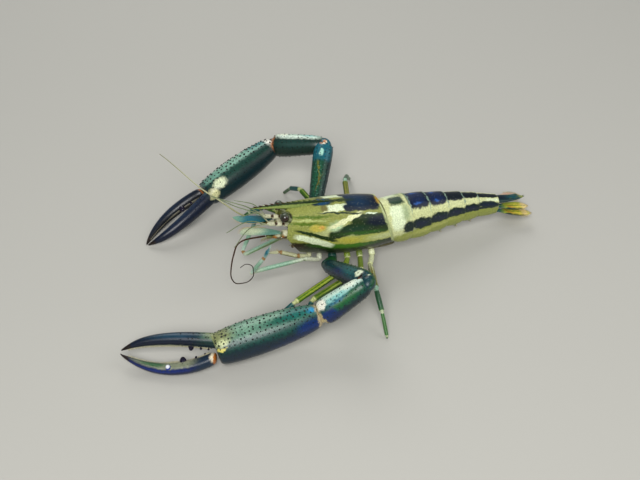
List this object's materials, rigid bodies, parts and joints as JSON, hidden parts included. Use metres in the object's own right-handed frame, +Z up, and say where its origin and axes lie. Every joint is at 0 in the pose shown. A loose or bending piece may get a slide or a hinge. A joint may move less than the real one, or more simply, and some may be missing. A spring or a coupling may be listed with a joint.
{
  "type": "bigclaw river shrimp",
  "caption": "Life-size still model of a bigclaw river shrimp, standing with long raised arms, open claws resting on the floor and curled feelers.",
  "frame": {"origin": "centre of the animal's bounding box, at the floor that it stands on", "axes": "+X from head to tail, +Y towards the animal's right side, +Z up"},
  "size_m": [0.2978, 0.1882, 0.0676],
  "materials": {
    "carapace_shell": "wet shell, cream with dark green and navy bands",
    "thorax_skin": "dull olive underside",
    "abdomen_shell": "wet shell, navy blocks with ragged cream stripes",
    "tail_fan": "wet shell, teal and yellow-green blades",
    "eyestalk": "smooth pale olive",
    "eye": "very glossy black with a grey cap",
    "antennule": "pale cream with brown joints",
    "antenna_base": "olive and cream shell",
    "antenna_scale": "teal blade with a pale rim",
    "feeler": "dark ringed feeler",
    "small_leg": "pale cream with teal tinges",
    "walking_leg": "yellow-green shell with teal ends",
    "claw_arm": "dark teal shell with black dots and bright blue joints",
    "claw_finger": "navy shell with brown tips"
  },
  "bodies": {
    "root": {"abdomen_1": "abdomen_shell", "abdomen_2": "abdomen_shell", "abdomen_3": "abdomen_shell", "abdomen_4": "abdomen_shell", "abdomen_5": "abdomen_shell", "abdomen_6": "abdomen_shell", "antenna_base_L": "antenna_base", "antenna_base_R": "antenna_base", "antenna_flagellum_L_1": "feeler", "antenna_flagellum_L_2": "feeler", "antenna_flagellum_L_3": "feeler", "antenna_flagellum_R_1": "feeler", "antenna_flagellum_R_2": "feeler", "antenna_scale_L": "antenna_scale", "antenna_scale_R": "antenna_scale", "antennule_L": "antennule", "antennule_R": "antennule", "carapace": "carapace_shell", "cheliped_L_carpus": "claw_arm", "cheliped_L_dactyl": "claw_finger", "cheliped_L_ischium": "claw_arm", "cheliped_L_merus": "claw_arm", "cheliped_L_palm": "claw_arm", "cheliped_R_carpus": "claw_arm", "cheliped_R_dactyl": "claw_finger", "cheliped_R_ischium": "claw_arm", "cheliped_R_merus": "claw_arm", "cheliped_R_palm": "claw_arm", "eye_L": "eye", "eye_R": "eye", "eyestalk_L": "eyestalk", "eyestalk_R": "eyestalk", "leg_1_L_lower": "small_leg", "leg_1_L_upper": "small_leg", "leg_1_R_lower": "small_leg", "leg_1_R_upper": "small_leg", "leg_3_L_lower": "walking_leg", "leg_3_L_upper": "walking_leg", "leg_3_R_lower": "walking_leg", "leg_3_R_upper": "walking_leg", "leg_4_L_lower": "walking_leg", "leg_4_L_upper": "walking_leg", "leg_4_R_lower": "walking_leg", "leg_4_R_upper": "walking_leg", "leg_5_L_lower": "walking_leg", "leg_5_L_upper": "walking_leg", "leg_5_R_lower": "walking_leg", "leg_5_R_upper": "walking_leg", "maxilliped_L": "small_leg", "maxilliped_R": "small_leg", "telson": "tail_fan", "thorax": "thorax_skin", "uropod_inner_L": "tail_fan", "uropod_inner_R": "tail_fan", "uropod_outer_L": "tail_fan", "uropod_outer_R": "tail_fan"}
  },
  "joints": []
}
